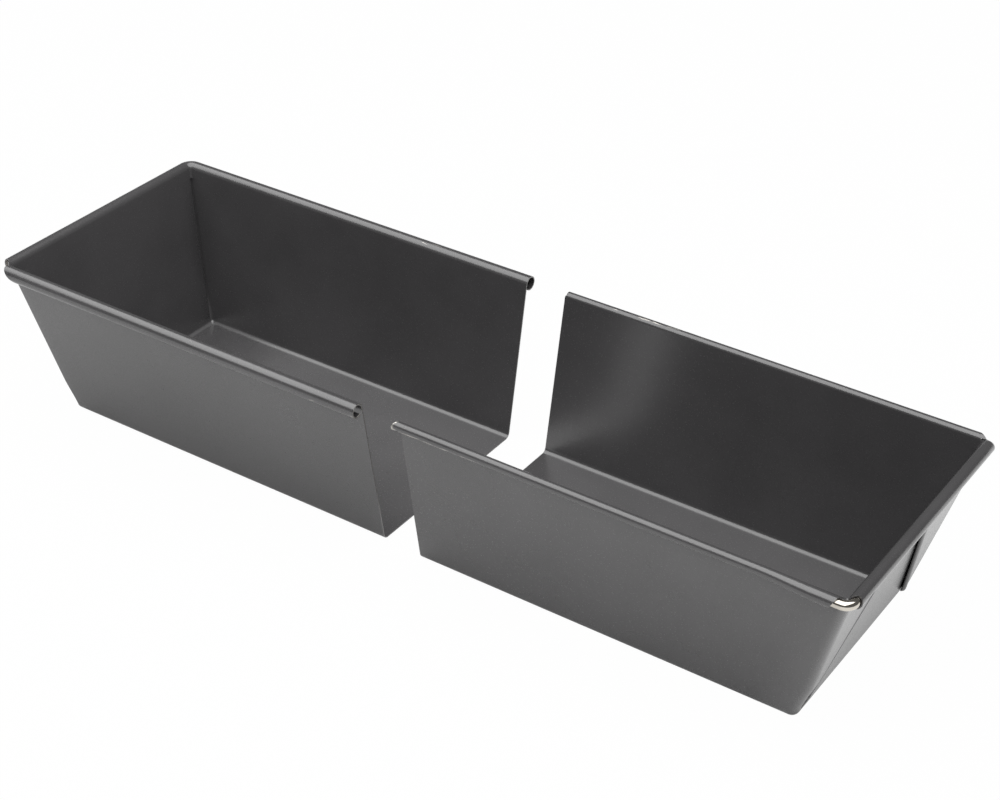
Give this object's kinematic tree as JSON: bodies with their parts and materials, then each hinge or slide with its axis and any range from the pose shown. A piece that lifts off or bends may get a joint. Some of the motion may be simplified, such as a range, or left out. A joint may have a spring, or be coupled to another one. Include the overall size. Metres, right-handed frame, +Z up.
{
  "type": "adjustable loaf pan",
  "caption": "Adjustable loaf pan of coated sheet steel: two open-ended trays with leaning walls and rolled rims, the inner tray sliding in the outer tray to set the length.",
  "frame": {"origin": "centre of the bounding box's bottom with the trays as pictured, on the table", "axes": "+X along the slide towards the outer tray's closed end, +Z up, out of the pan's open top"},
  "size_m": [0.3804, 0.1192, 0.0701],
  "materials": {
    "outer_coating": "dark grey non-stick coating, satin, on the outer tray's steel sheet",
    "inner_coating": "dark grey non-stick coating, satin, on the inner tray's steel sheet",
    "plated_wire": "bright nickel plating on drawn steel wire"
  },
  "bodies": {
    "outer": {"outer_tray": "outer_coating", "rim_wire": "plated_wire"},
    "inner": {"inner_tray": "inner_coating"}
  },
  "joints": [
    {"name": "inner_slide", "type": "slide", "parent": "outer", "child": "inner", "axis": [1, 0, 0], "range_m": [0, 0.1735]}
  ]
}
